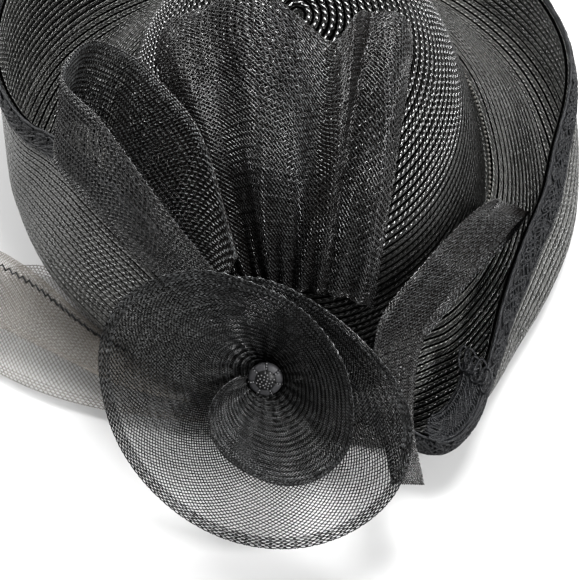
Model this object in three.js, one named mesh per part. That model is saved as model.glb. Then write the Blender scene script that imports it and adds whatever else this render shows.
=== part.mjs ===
// A black dress hat: crown and brim of sewn straw braid, trimmed at the front with crinoline.
// Millimetres, +Z up. The trimmed front faces -Y, and +X is the wearer's left.
import * as THREE from "three";
import { mergeVertices } from "three/addons/utils/BufferGeometryUtils.js";

const STRAW_WALL = 2.2;
const CRINOLINE_WALL = 1.2;
const GAP = 0.4;

// The crown's oval at its seam with the brim, and how it closes in as it rises.
const CROWN_HALF_WIDTH = 85;
const CROWN_HALF_FRONT = 100;
const CROWN_HALF_BACK = 110;
const SEAM_HEIGHT = 30;
const CROWN_STEPS = 52;
const CROWN_PROFILE = [
  { rise: 0, share: 1 },
  { rise: 15, share: 0.955 },
  { rise: 33, share: 0.895 },
  { rise: 52, share: 0.82 },
  { rise: 70, share: 0.715 },
  { rise: 86, share: 0.575 },
  { rise: 97.5, share: 0.4 },
  { rise: 104, share: 0.2 },
  { rise: 106, share: 0 },
];

// The brim, by sections round the hat: turn is in degrees from the front towards +X.
// The straw goes out and down from the seam to the fold, then turns up to the rim.
const BRIM_STEPS = 112;
const BRIM_FRONT_CROWDING = 0.4;
const SEAM_ROW = 4;
const FOLD_LIFT = 10;
const CUFF_BOW = 1.5;
const BRIM_SECTIONS = [
  { turn: -180, fold: 152, foldHeight: 0, rim: 162, rimHeight: 30 },
  { turn: -150, fold: 150, foldHeight: 0, rim: 164, rimHeight: 43 },
  { turn: -125, fold: 145, foldHeight: 0, rim: 154, rimHeight: 55 },
  { turn: -105, fold: 137, foldHeight: 0, rim: 135, rimHeight: 61 },
  { turn: -90, fold: 129, foldHeight: 4, rim: 114, rimHeight: 66 },
  { turn: -80, fold: 123, foldHeight: 9, rim: 97, rimHeight: 74 },
  { turn: -66, fold: 118, foldHeight: 15, rim: 87, rimHeight: 84 },
  { turn: -45, fold: 113, foldHeight: 19, rim: 83, rimHeight: 87 },
  { turn: -25, fold: 113, foldHeight: 17, rim: 89, rimHeight: 86 },
  { turn: -9, fold: 117, foldHeight: 11, rim: 93, rimHeight: 82 },
  { turn: 2, fold: 121, foldHeight: 7, rim: 97, rimHeight: 71 },
  { turn: 10, fold: 126, foldHeight: 3, rim: 110, rimHeight: 46 },
  { turn: 18, fold: 132, foldHeight: 0, rim: 127, rimHeight: 29 },
  { turn: 25, fold: 138, foldHeight: 0, rim: 140, rimHeight: 24 },
  { turn: 31, fold: 136, foldHeight: 0, rim: 137, rimHeight: 27 },
  { turn: 38, fold: 131, foldHeight: 0, rim: 125, rimHeight: 33 },
  { turn: 50, fold: 124, foldHeight: 0, rim: 111, rimHeight: 37 },
  { turn: 65, fold: 123, foldHeight: 0, rim: 105, rimHeight: 37 },
  { turn: 80, fold: 126, foldHeight: 0, rim: 108, rimHeight: 36 },
  { turn: 95, fold: 130, foldHeight: 0, rim: 115, rimHeight: 35 },
  { turn: 120, fold: 143, foldHeight: 0, rim: 142, rimHeight: 32 },
  { turn: 150, fold: 150, foldHeight: 0, rim: 157, rimHeight: 29 },
];

// The scroll gimp along the outside of the rim.
const GIMP_WIDTH = 12;
const GIMP_THICKNESS = 2.2;
const GIMP_GAP = 1.3;
const GIMP_OVERHANG = 0.8;
const GIMP_STATIONS = 3;

// The pleated fan on the crown's front: a row for each fold line, ridges and valleys in turn.
// foot and tip are sideways places, reach is how far back the tip goes, lift is its height off the straw.
const FAN_FOOT_Y = -84;
const FAN_FOOT_LIFT = 5;
const FAN_FOLDS_ACROSS = 30;
const FAN_STEPS_ALONG = 11;
const FAN_FOLDS = [
  { place: 0, foot: -19, tip: -54, reach: -4, lift: 2 },
  { place: 0.12, foot: -16, tip: -46, reach: 5, lift: 6 },
  { place: 0.25, foot: -12, tip: -33, reach: 9, lift: 2 },
  { place: 0.38, foot: -8, tip: -17, reach: 8, lift: 9 },
  { place: 0.5, foot: -3, tip: 1, reach: -3, lift: 2 },
  { place: 0.57, foot: 0, tip: 12, reach: -14, lift: 4 },
  { place: 0.66, foot: 5, tip: 20, reach: -4, lift: 9 },
  { place: 0.77, foot: 11, tip: 27, reach: 3, lift: 2 },
  { place: 0.89, foot: 20, tip: 37, reach: 2, lift: 7 },
  { place: 1, foot: 28, tip: 43, reach: -8, lift: 2 },
];

// Ribbon loops: a row for each station along the ribbon, with its two edges.
const LEFT_LOOP_STEPS = 24;
const LEFT_LOOP = [
  { low: [-33, -97, 82], high: [-25, -96, 95] },
  { low: [-57, -80, 81], high: [-46, -72, 105] },
  { low: [-83, -50, 81], high: [-74, -33, 112] },
  { low: [-98, -29, 78], high: [-92, -8, 110] },
  { low: [-96, -12, 80], high: [-82, 4, 114] },
  { low: [-82, -17, 84], high: [-65, -6, 120] },
  { low: [-68, -40, 88], high: [-51, -23, 124] },
  { low: [-52, -66, 91], high: [-36, -46, 126] },
  { low: [-28, -93, 93], high: [-22, -89, 108] },
];
const RIGHT_LOOP_STEPS = 30;
const RIGHT_LOOP = [
  { low: [37, -152, 38], high: [50, -151, 34] },
  { low: [33, -133, 50], high: [46, -130, 43] },
  { low: [30, -113, 62], high: [47, -113, 48] },
  { low: [32, -97, 71], high: [51, -96, 52] },
  { low: [50, -73, 73], high: [71, -68, 50] },
  { low: [76, -40, 61], high: [98, -30, 35] },
  { low: [84, -34, 56], high: [101.5, -25, 30] },
  { low: [76, -45, 54], high: [94, -36, 29] },
  { low: [56, -70, 62], high: [73, -64, 41] },
  { low: [39, -94, 63], high: [53, -92, 46] },
];
const SIDE_LOOP_STEPS = 22;
const SIDE_LOOP = [
  { low: [-43, -109, 15.6], high: [-52, -89, 15.6] },
  { low: [-72, -101, 14], high: [-85, -73, 13.5] },
  { low: [-114, -80, 14], high: [-119, -43, 13.5] },
  { low: [-140, -68, 13], high: [-138, -33, 13] },
  { low: [-151, -70, 9], high: [-147, -36, 9] },
  { low: [-141, -82, 5], high: [-138, -39, 5] },
  { low: [-115, -97, 4], high: [-113, -38, 5] },
  { low: [-80, -108, 5], high: [-84, -59, 5] },
  { low: [-38, -115, 8], high: [-50, -82, 8] },
];
const RIBBON_STEPS_ACROSS = 3;

// The rosette: one ribbon wound out from the button, a cup first and then a wide ring under it.
// turn is in degrees, and radius and height place the outer edge in the rosette's own tilted frame.
const ROSETTE_PLACE = [-12, -118, 66];
const ROSETTE_TILT = 45;
const ROSETTE_EYE_RADIUS = 5;
const ROSETTE_EYE_DEPTH = { start: -4, end: -14 };
const ROSETTE_FLARE = 0.6;
const ROSETTE_STEPS = 60;
const ROSETTE_STEPS_ACROSS = 5;
const ROSETTE_TURNS = [
  { turn: 170, radius: 10, height: 6 },
  { turn: 200, radius: 22, height: 12 },
  { turn: 225, radius: 28, height: 16 },
  { turn: 258, radius: 33, height: 19 },
  { turn: 290, radius: 38, height: 22 },
  { turn: 320, radius: 38, height: 23 },
  { turn: 352, radius: 33, height: 24 },
  { turn: 381, radius: 32, height: 24 },
  { turn: 413, radius: 34, height: 22 },
  { turn: 453, radius: 42, height: 17 },
  { turn: 485, radius: 56, height: 14 },
  { turn: 513, radius: 64, height: 11 },
  { turn: 549, radius: 62, height: 8 },
  { turn: 585, radius: 64, height: 6 },
  { turn: 638, radius: 72.5, height: 5 },
  { turn: 668, radius: 71, height: 6 },
  { turn: 693, radius: 63, height: 8 },
  { turn: 738, radius: 43, height: 11 },
  { turn: 776, radius: 38, height: 12 },
  { turn: 823, radius: 44, height: 10 },
];

// The covered button in the rosette's eye, as a profile from its back to its domed middle.
const BUTTON_BASE = 2.2;
const BUTTON_SIDES = 20;
const BUTTON_PROFILE = [
  { radius: 0, height: 0 },
  { radius: 5.6, height: 0 },
  { radius: 6.6, height: 1 },
  { radius: 6.6, height: 2 },
  { radius: 5.8, height: 2.9 },
  { radius: 4, height: 3 },
  { radius: 3.2, height: 3.4 },
  { radius: 1.8, height: 4 },
  { radius: 0, height: 4.2 },
];

const BLACK_STRAW = { color: 0x14161a, roughness: 0.38, metalness: 0 };
const BLACK_GIMP = { color: 0x101218, roughness: 0.62, metalness: 0 };
const BLACK_CRINOLINE = { color: 0x17181a, roughness: 0.42, metalness: 0 };
const BLACK_BEADS = { color: 0x1b1d22, roughness: 0.25, metalness: 0 };

const radians = THREE.MathUtils.degToRad;
const lerp = THREE.MathUtils.lerp;

// A table's column read at any place of its key column, on smooth curves through the rows.
function read(rows, key, column, at, period = 0) {
  const count = rows.length;
  const row = (i) => {
    const lap = period ? Math.floor(i / count) : 0;
    const spot = rows[period ? i - lap * count : THREE.MathUtils.clamp(i, 0, count - 1)];
    return { x: spot[key] + lap * period, y: spot[column] };
  };
  const first = row(0).x;
  const place = period ? first + THREE.MathUtils.euclideanModulo(at - first, period) : at;
  let i = 0;
  while (i < count - (period ? 1 : 2) && row(i + 1).x <= place) i += 1;
  const [before, start, end, after] = [row(i - 1), row(i), row(i + 1), row(i + 2)];
  const span = end.x - start.x;
  const t = (place - start.x) / span;
  const startSlope = ((end.y - before.y) / (end.x - before.x)) * span;
  const endSlope = ((after.y - start.y) / (after.x - start.x)) * span;
  const startPull = t * (1 - t) * (1 - t) * startSlope;
  const endPull = t * t * (1 - t) * endSlope;
  return lerp(start.y, end.y, t * t * (3 - 2 * t)) + startPull - endPull;
}

// Keeps only the places of a geometry's corners and joins those that coincide.
function closed(geometry) {
  geometry.deleteAttribute("normal");
  geometry.deleteAttribute("uv");
  const merged = mergeVertices(geometry, 1e-4);
  merged.computeVertexNormals();
  return merged;
}

// A wall round the hat: section(turn) gives the same number of points [radius, height] at every turn.
function ring(turns, section) {
  const points = section(0).map(([radius, height]) => new THREE.Vector2(radius, height));
  const lathe = new THREE.LatheGeometry(points, turns.length);
  const place = lathe.getAttribute("position");
  for (let i = 0; i <= turns.length; i += 1) {
    const turn = turns[i % turns.length];
    section(turn).forEach(([radius, height], j) => {
      const x = radius * Math.sin(turn);
      place.setXYZ(i * points.length + j, x, -radius * Math.cos(turn), height);
    });
  }
  return closed(lathe);
}

// A sheet of one thickness: surface(u, v) is its middle, with u and v from 0 to 1.
function sheet(stepsAlong, stepsAcross, thickness, surface) {
  const box = new THREE.BoxGeometry(1, 1, 1, stepsAlong, stepsAcross, 1);
  const place = box.getAttribute("position");
  const NEAR = 0.002;
  for (let i = 0; i < place.count; i += 1) {
    const u = place.getX(i) + 0.5;
    const v = place.getY(i) + 0.5;
    const [u0, u1] = [Math.max(u - NEAR, 0), Math.min(u + NEAR, 1)];
    const [v0, v1] = [Math.max(v - NEAR, 0), Math.min(v + NEAR, 1)];
    const along = surface(u1, v).sub(surface(u0, v));
    const across = surface(u, v1).sub(surface(u, v0));
    const out = along.cross(across).normalize();
    const spot = surface(u, v).addScaledVector(out, place.getZ(i) * thickness);
    place.setXYZ(i, spot.x, spot.y, spot.z);
  }
  return closed(box);
}

// The point of a line of points in a section, moved off to its left by a distance, with even corners.
function offset(line, j, distance) {
  const normal = ([x0, y0], [x1, y1]) => {
    const length = Math.hypot(x1 - x0, y1 - y0);
    return [(y0 - y1) / length, (x1 - x0) / length];
  };
  const before = normal(line[Math.max(j - 1, 0)], line[Math.max(j, 1)]);
  const after = normal(line[Math.min(j, line.length - 2)], line[Math.min(j + 1, line.length - 1)]);
  const reach = distance / (1 + before[0] * after[0] + before[1] * after[1]);
  return [line[j][0] + (before[0] + after[0]) * reach, line[j][1] + (before[1] + after[1]) * reach];
}

// The closed outline of a wall about a line of points, from its right side round to its left.
function wallAbout(line, thickness) {
  const right = line.map((_, j) => offset(line, j, -thickness / 2));
  const left = line.map((_, j) => offset(line, j, thickness / 2));
  return [...right, ...left.reverse(), right[0]];
}

// The seam's distance from the middle of the crown, at a turn.
function seamRadius(turn) {
  const halfLength = Math.cos(turn) > 0 ? CROWN_HALF_FRONT : CROWN_HALF_BACK;
  return 1 / Math.hypot(Math.sin(turn) / CROWN_HALF_WIDTH, Math.cos(turn) / halfLength);
}

function evenTurns(steps) {
  return Array.from({ length: steps }, (_, i) => (i / steps) * 2 * Math.PI);
}

// Turns that stand closer together at the front, where the brim is shaped most.
function brimTurns() {
  return evenTurns(BRIM_STEPS).map((turn) => turn - BRIM_FRONT_CROWDING * Math.sin(turn));
}

function makeCrown() {
  const section = (turn) => {
    const outer = CROWN_PROFILE.map(({ rise, share }) => [
      seamRadius(turn) * share,
      SEAM_HEIGHT + GAP + rise,
    ]);
    const inner = outer.map((_, j) => offset(outer, j, STRAW_WALL));
    inner[0][1] = outer[0][1];
    inner[inner.length - 1] = [0, outer[outer.length - 1][1] - STRAW_WALL];
    return [...inner.reverse(), ...outer];
  };
  return ring(evenTurns(CROWN_STEPS), section);
}

// The middle of the brim's wall at a turn, from under the crown out to the fold and up to the rim.
function brimLine(turn) {
  const at = THREE.MathUtils.radToDeg(turn);
  const value = (column) => read(BRIM_SECTIONS, "turn", column, at, 360);
  const seam = seamRadius(turn);
  const seamHeight = SEAM_HEIGHT - STRAW_WALL / 2;
  const start = seam + SEAM_ROW;
  const fold = value("fold");
  const bedHeight = Math.max(value("foldHeight"), 0) + STRAW_WALL / 2;
  const rim = [value("rim"), value("rimHeight")];
  const out = (share) => lerp(start, fold, share);
  const bend = [fold, bedHeight + FOLD_LIFT];
  return [
    [seam - SEAM_ROW, seamHeight],
    [start, seamHeight],
    [out(0.34), lerp(seamHeight, bedHeight, 0.52)],
    [out(0.62), bedHeight],
    [out(0.8), bedHeight],
    [out(0.94), bedHeight + FOLD_LIFT * 0.3],
    bend,
    [lerp(bend[0], rim[0], 0.5) + CUFF_BOW, lerp(bend[1], rim[1], 0.5)],
    rim,
  ];
}

function makeBrim() {
  return ring(brimTurns(), (turn) => wallAbout(brimLine(turn), STRAW_WALL));
}

// The gimp lies on the outside of the cuff and starts a little above the rim.
function makeEdgeBraid() {
  const section = (turn) => {
    const line = brimLine(turn);
    const side = line.map((_, j) => offset(line, j, -(STRAW_WALL + GIMP_THICKNESS) / 2 - GIMP_GAP));
    const [bend, middle, rim] = side.slice(-3).map(([x, y]) => new THREE.Vector2(x, y));
    const upper = rim.distanceTo(middle);
    const strip = Array.from({ length: GIMP_STATIONS }, (_, k) => {
      const down = (k / (GIMP_STATIONS - 1)) * GIMP_WIDTH - GIMP_OVERHANG;
      const [from, to] = down < upper ? [rim, middle] : [middle, bend];
      const rest = down < upper ? down : down - upper;
      const spot = from.clone().add(to.clone().sub(from).setLength(1).multiplyScalar(rest));
      return [spot.x, spot.y];
    });
    return wallAbout(strip.reverse(), GIMP_THICKNESS);
  };
  return ring(brimTurns(), section);
}

// A point over the crown at a place seen from above, lifted off the straw.
function overCrown(x, y, lift) {
  const heightAt = (px, py) => {
    const share = Math.hypot(px, py) / seamRadius(Math.atan2(px, -py));
    const rows = CROWN_PROFILE.map(({ rise, share: s }) => ({ rise, inward: 1 - s }));
    return SEAM_HEIGHT + GAP + read(rows, "inward", "rise", 1 - Math.min(share, 1));
  };
  const STEP = 0.5;
  const slopeX = (heightAt(x + STEP, y) - heightAt(x - STEP, y)) / (2 * STEP);
  const slopeY = (heightAt(x, y + STEP) - heightAt(x, y - STEP)) / (2 * STEP);
  const out = new THREE.Vector3(-slopeX, -slopeY, 1).normalize();
  return new THREE.Vector3(x, y, heightAt(x, y)).addScaledVector(out, lift);
}

function makeCrownFan() {
  const surface = (u, v) => {
    const fold = (column) => read(FAN_FOLDS, "place", column, u);
    const along = 1 - v;
    const x = lerp(fold("foot"), fold("tip"), along);
    const y = lerp(FAN_FOOT_Y, fold("reach"), along ** 1.25);
    const settle = (1 - along) ** 3;
    return overCrown(x, y, lerp(fold("lift"), FAN_FOOT_LIFT, settle));
  };
  return sheet(FAN_FOLDS_ACROSS, FAN_STEPS_ALONG, CRINOLINE_WALL, surface);
}

function makeLoop(rows, steps) {
  const edge = (column) =>
    new THREE.CatmullRomCurve3(
      rows.map((row) => new THREE.Vector3(...row[column])),
      false,
      "centripetal",
    );
  const [low, high] = [edge("low"), edge("high")];
  const surface = (u, v) => low.getPoint(u).lerp(high.getPoint(u), v);
  return sheet(steps, RIBBON_STEPS_ACROSS, CRINOLINE_WALL, surface);
}

function makeRosette() {
  const [start, end] = [ROSETTE_TURNS[0].turn, ROSETTE_TURNS[ROSETTE_TURNS.length - 1].turn];
  const surface = (u, v) => {
    const turn = lerp(start, end, u);
    const edgeRadius = read(ROSETTE_TURNS, "turn", "radius", turn);
    const edgeHeight = read(ROSETTE_TURNS, "turn", "height", turn);
    const depth = lerp(ROSETTE_EYE_DEPTH.start, ROSETTE_EYE_DEPTH.end, u);
    const radius = lerp(ROSETTE_EYE_RADIUS, edgeRadius, v);
    const height = lerp(depth, edgeHeight, v ** ROSETTE_FLARE);
    const angle = radians(turn);
    return new THREE.Vector3(radius * Math.cos(angle), radius * Math.sin(angle), height);
  };
  return sheet(ROSETTE_STEPS, ROSETTE_STEPS_ACROSS, CRINOLINE_WALL, surface);
}

function makeButton() {
  const profile = BUTTON_PROFILE.map(({ radius, height }) => new THREE.Vector2(radius, height));
  return closed(new THREE.LatheGeometry(profile, BUTTON_SIDES));
}

function part(name, geometry, finish) {
  const mesh = new THREE.Mesh(geometry, new THREE.MeshStandardMaterial(finish));
  mesh.name = name;
  return mesh;
}

const rosette = new THREE.Group();
const button = part("button", makeButton(), BLACK_BEADS);
button.rotation.x = Math.PI / 2;
button.position.z = BUTTON_BASE;
rosette.add(part("rosette", makeRosette(), BLACK_CRINOLINE), button);
rosette.position.set(...ROSETTE_PLACE);
rosette.rotation.x = radians(ROSETTE_TILT);

const hat = new THREE.Group();
hat.add(
  part("crown", makeCrown(), BLACK_STRAW),
  part("brim", makeBrim(), BLACK_STRAW),
  part("edge_braid", makeEdgeBraid(), BLACK_GIMP),
  part("crown_fan", makeCrownFan(), BLACK_CRINOLINE),
  part("left_loop", makeLoop(LEFT_LOOP, LEFT_LOOP_STEPS), BLACK_CRINOLINE),
  part("right_loop", makeLoop(RIGHT_LOOP, RIGHT_LOOP_STEPS), BLACK_CRINOLINE),
  part("side_loop", makeLoop(SIDE_LOOP, SIDE_LOOP_STEPS), BLACK_CRINOLINE),
  rosette,
);

// The origin is under the middle of the hat's box, on the surface that it rests on.
const box = new THREE.Box3().setFromObject(hat, true);
const middle = box.getCenter(new THREE.Vector3());
hat.position.set(-middle.x, -middle.y, -box.min.z);

const group = new THREE.Group();
group.add(hat);

export default group;
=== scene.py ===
"""The looks of a black dress hat: sewn straw braid, scroll gimp, crinoline net and a beaded button."""

import math
from collections import namedtuple

import bmesh
import bpy
import numpy as np
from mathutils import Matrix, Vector


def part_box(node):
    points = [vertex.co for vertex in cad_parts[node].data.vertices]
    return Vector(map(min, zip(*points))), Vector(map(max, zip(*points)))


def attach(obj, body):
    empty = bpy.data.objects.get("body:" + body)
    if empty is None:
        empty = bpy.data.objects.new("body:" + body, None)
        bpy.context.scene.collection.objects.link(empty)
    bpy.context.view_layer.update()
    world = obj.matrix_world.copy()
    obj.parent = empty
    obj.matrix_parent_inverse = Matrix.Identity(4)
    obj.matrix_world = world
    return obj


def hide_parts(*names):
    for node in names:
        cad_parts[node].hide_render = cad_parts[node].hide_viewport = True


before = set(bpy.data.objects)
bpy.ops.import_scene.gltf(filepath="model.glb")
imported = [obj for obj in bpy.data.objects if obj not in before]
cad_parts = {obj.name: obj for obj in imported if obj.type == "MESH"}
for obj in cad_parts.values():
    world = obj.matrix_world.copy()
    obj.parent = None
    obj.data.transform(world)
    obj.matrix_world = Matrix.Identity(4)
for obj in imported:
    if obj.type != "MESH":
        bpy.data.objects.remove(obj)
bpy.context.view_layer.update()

# Sizes are millimetres and degrees where no comment says otherwise. Meshes are made in metres.
METRES = 0.001
# A vector shorter than this has no direction.
LEAST_LENGTH = 1e-9
# A short step for measuring directions
NEAR = 0.5

# Crown and brim
STRAW_WALL = 2.2
SEAM_GAP = 0.4
CROWN_HALF_WIDTH = 85
CROWN_HALF_FRONT = 100
CROWN_HALF_BACK = 110
SEAM_HEIGHT = 30
SEAM_ROW = 4
FOLD_LIFT = 10
CUFF_BOW = 1.5
CROWN_TURN_STEPS = 260
CROWN_PROFILE_STEPS = 400
BRIM_TURN_STEPS = 272
BRIM_FRONT_CROWDING = 0.4

# The brim from seam to fold, in shares of the way out, of the drop to its bed and of the fold's lift
SLOPE_OUT = 0.34
SLOPE_DROP = 0.52
BED_INSIDE = 0.62
BED_OUTSIDE = 0.8
BEND_OUT = 0.94
BEND_LIFT = 0.3

# Rows of braid, and how far each row's strands are shifted against the row before, in strands
CROWN_ROWS = 46
BRIM_ROW_PITCH = 3.2
ROW_GROOVE = 0.85
ROW_SLIP = 0.37

# Grains: the slanting strands in the crown's rows, which sink into its wall towards the seam
GRAIN_SPACING = 3.0
GRAIN_LENGTH = 4.2
GRAIN_WIDTH = 1.7
GRAIN_RISE = 0.38
GRAIN_SLANT = 22
GRAIN_DEPTH = 0.22
GRAIN_SHOWS = 0.1
GRAIN_SUNK_ROWS = (15, 27)
GRAIN_MESH = {"rings": 4, "sides": 5}
LEAST_GRAINS = 5
RING_STEPS = 361

# Gimp: a flat ground, and cords that wind across it in even repeats but stray a little
GIMP_WIDTH = 12
GIMP_OVERHANG = 0.8
GIMP_GROUND_OFFSET = 2.2
GIMP_GROUND_THICKNESS = 1.0
GIMP_GROUND_STEPS = 480
GIMP_CORD_OFFSET = 3.2
GIMP_CORD_RADIUS = 0.5
GIMP_CORD_SIDES = 4
GIMP_EDGE_OFFSET = 2.7
GIMP_EDGE_RADIUS = 0.6
GIMP_EDGE_STRAY = 0.2
GIMP_TURN_STEPS = 2400
GIMP_REPEAT = 6
GIMP_REPEAT_POINTS = 18
GIMP_INSET = 1.2
GIMP_SWAY = 0.4
GIMP_STRAY = 1.1
GIMP_STRAY_WAVES = (61, 97)
# Each winding cord's shift in repeats, its lift, and its share of the band's width
GIMP_CORDS = ((0.0, 0.0, 0.95), (0.33, 0.35, 0.8), (0.67, 0.15, 0.9))

# The gimp's flat band over the prow: its place, straight cords, winding cords and loops
PROW_TURNS = (23.5, 36)
PROW_STEPS = 260
PROW_RIM_RADIUS = 125
PROW_OUT = 3.2
PROW_REACH = 13.5
PROW_FALL = 0.2
PROW_START_WIDTH = 0.3
PROW_TAPER = 0.15
PROW_CORDS = 8
PROW_CORD_FULLNESS = 0.55
PROW_CORD_RISE = 0.6
PROW_CORD_SIDES = 5
PROW_CORD_SKIP = 4
PROW_EDGE_RISE = 1.4
PROW_REPEATS = 9
PROW_SWING = 0.42
PROW_SWAY_RADIANS = 0.02
# Each winding cord's shift in repeats and its height
PROW_WINDINGS = ((0.0, 1.9), (0.33, 2.2), (0.67, 2.05))
PROW_LOOPS = 5
PROW_LOOP_POINTS = 32
PROW_LOOP_HALF_LENGTH = 3.6
PROW_LOOP_HALF_WIDTH = 3.2
PROW_LOOP_RISE = 2.4
PROW_LOOP_WAVE = 0.5

# Fan. The powers say how its height, its gathers and its spread change from tip to foot.
FAN_FOOT_Y = -84
FAN_FOOT_LIFT = 5
FAN_GATHERS = 9
FAN_GATHER_DEPTH = 1.2
FAN_GATHER_POWER = 1.5
FAN_LIFT_POWER = 3
FAN_SPREAD_POWER = 1.25

# Rosette
ROSETTE_PLACE = (-12, -118, 66)
ROSETTE_TILT = 45
ROSETTE_EYE_RADIUS = 2.4
ROSETTE_EYE_DEPTH = (-4, -14)
ROSETTE_FLARE = 0.6
ROSETTE_GATHERS = 34
ROSETTE_GATHER_DEPTH = 0.4
# Brings the gathers' fade, v * (1 - v) ** 3, to about 1 at its highest
ROSETTE_GATHER_SCALE = 9.5

# Nets: the pitch of the threads, the width of the rows that they weave, and a thread's radius and sway
Weave = namedtuple("Weave", "pitch row radius sway")
COARSE_WEAVE = Weave(pitch=1.25, row=1.1, radius=0.27, sway=0.34)
SIDE_WEAVE = Weave(pitch=1.3, row=1.2, radius=0.17, sway=0.14)
FINE_WEAVE = Weave(pitch=0.74, row=1.25, radius=0.235, sway=0.34)
THREAD_SIDES = 3
HEM_WIDTH = 3.4
# The first hem thread's distance from the edge and the next ones' spacing, in pitches
HEM_START = 0.25
HEM_SPACING = 0.7
# Samples along and across a ribbon, and a short step for measuring directions, as a share of it
RIBBON_SAMPLES = (200, 40)
RIBBON_NEAR = 0.002

# Sewing
STITCH_SPACING = 2.4
STITCH_RADIUS = 0.8
STITCH_LIFT = 1
SEAM_STEPS = 2000
ZIGZAG_SPAN = (0.08, 0.6)
ZIGZAG_STEPS = 600
ZIGZAG_REPEAT = 3.7
ZIGZAG_WIDTH = 2.2
ZIGZAG_RADIUS = 0.42
ZIGZAG_SIDES = 5
ZIGZAG_ACROSS = 0.8
ZIGZAG_LIFT = 0.5

# Button: a cover with grooved spokes, and beads along the spokes and on its middle.
# Its profile's rows from the edge row on are its top.
BUTTON_BASE = 2.2
BUTTON_SIDES = 98
BUTTON_DARK_REACH = 5.1
BUTTON_EDGE_ROW = 3
SPOKES = 7
SPOKE_TURN = 86
SPOKE_INSIDE = 3.5
SPOKE_FOOT = 1.5
SPOKE_DEPTH = 0.35
SPOKE_PINCH = 0.6
SPOKE_SHARPNESS = 24
SPOKE_BLACK_SPOTS = (4.2, 5.2, 6.2)
SPOKE_GREY_SPOTS = (4.7, 5.7, 6.5)
MIDDLE_BEADS = 26
MIDDLE_REACH = 3.6
BEAD_RADIUS = 0.36
BEAD_MESH = {"rings": 5, "sides": 8}

# Patterns in the materials: straw strands, painted glints on the nets, and soft patches to a metre
PLAIT_LENGTH = 2.8
PLAIT_SLANT = 2.2
GLINT_LENGTH = 2.4
PATCHES = 60.0
# How far the painted shade in the slit between two rows of braid and the painted highlight along their
# edges reach, as shares of a row
SLIT_REACH = 0.19
SLIT_CORE = 0.7
EDGE_REACH = 0.34
# Painted shade: the colour of the slit between rows, where the straw's gloss is also taken away
SLIT_PAINTED_SHADE = (0.001, 0.001, 0.001)

# The photo's camera: what it looks at, how far away and how high it stands, and its lens
VIEW_TARGET = (-2.7, -95, 93)
VIEW_DISTANCE = 520
VIEW_ELEVATION = 63
VIEW_LENS = 86.3
VIEW_SENSOR = 36

# The stage, in metres, with the strength of the sky and each soft box's name, place, size and watts
FLOOR_HALF = 4.0
HORIZON_STRENGTH = 0.1
CEILING_STRENGTH = 0.35
LIGHT_TARGET = (0.01, -0.06, 0.09)
LIGHTS = (
    ("right_box", (0.95, -0.5, 0.95), (0.34, 0.34), 19),
    ("back_box", (0.25, 0.7, 1.3), (0.5, 0.4), 26),
    ("left_box", (-1.2, 0.6, 0.45), (0.4, 0.4), 6),
    ("top_left_box", (-0.75, 0.65, 1.15), (0.45, 0.45), 17),
)


def table(columns, *rows):
    """A short table as named columns."""
    return dict(zip(columns.split(), np.array(rows, float).T))


# One row of braid: places across it, as shares, and how much of the groove's depth each one sinks
ROW_PROFILE = table("place sink", (0, 1), (0.1, 0.9), (0.18, 0), (0.5, 0.12), (0.88, 0))
CROWN_PROFILE = table(
    "station rise share",
    (0, 0, 1),
    (1, 15, 0.955),
    (2, 33, 0.895),
    (3, 52, 0.82),
    (4, 70, 0.715),
    (5, 86, 0.575),
    (6, 97.5, 0.4),
    (7, 104, 0.2),
    (8, 106, 0),
)
BRIM_SECTIONS = table(
    "turn fold fold_height rim rim_height",
    (-180, 152, 0, 162, 30),
    (-150, 150, 0, 164, 43),
    (-125, 145, 0, 154, 55),
    (-105, 137, 0, 135, 61),
    (-90, 129, 4, 114, 66),
    (-80, 123, 9, 97, 74),
    (-66, 118, 15, 87, 84),
    (-45, 113, 19, 83, 87),
    (-25, 113, 17, 89, 86),
    (-9, 117, 11, 93, 82),
    (2, 121, 7, 97, 71),
    (10, 126, 3, 110, 46),
    (18, 132, 0, 127, 29),
    (25, 138, 0, 140, 24),
    (31, 136, 0, 137, 27),
    (38, 131, 0, 125, 33),
    (50, 124, 0, 111, 37),
    (65, 123, 0, 105, 37),
    (80, 126, 0, 108, 36),
    (95, 130, 0, 115, 35),
    (120, 143, 0, 142, 32),
    (150, 150, 0, 157, 29),
)
FAN_FOLDS = table(
    "place foot tip reach lift",
    (0, -19, -54, -4, 2),
    (0.12, -16, -46, 5, 6),
    (0.25, -12, -33, 9, 2),
    (0.38, -8, -17, 8, 9),
    (0.5, -3, 1, -3, 2),
    (0.57, 0, 12, -14, 4),
    (0.66, 5, 20, -4, 9),
    (0.77, 11, 27, 3, 2),
    (0.89, 20, 37, 2, 7),
    (1, 28, 43, -8, 2),
)
ROSETTE_TURNS = table(
    "turn radius height",
    (170, 10, 6),
    (200, 22, 12),
    (225, 28, 16),
    (258, 33, 19),
    (290, 38, 22),
    (320, 38, 23),
    (352, 33, 24),
    (381, 32, 24),
    (413, 34, 22),
    (453, 42, 17),
    (485, 56, 14),
    (513, 64, 11),
    (549, 62, 8),
    (585, 64, 6),
    (638, 72.5, 5),
    (668, 71, 6),
    (693, 63, 8),
    (738, 43, 11),
    (776, 38, 12),
    (823, 44, 10),
)
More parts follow.
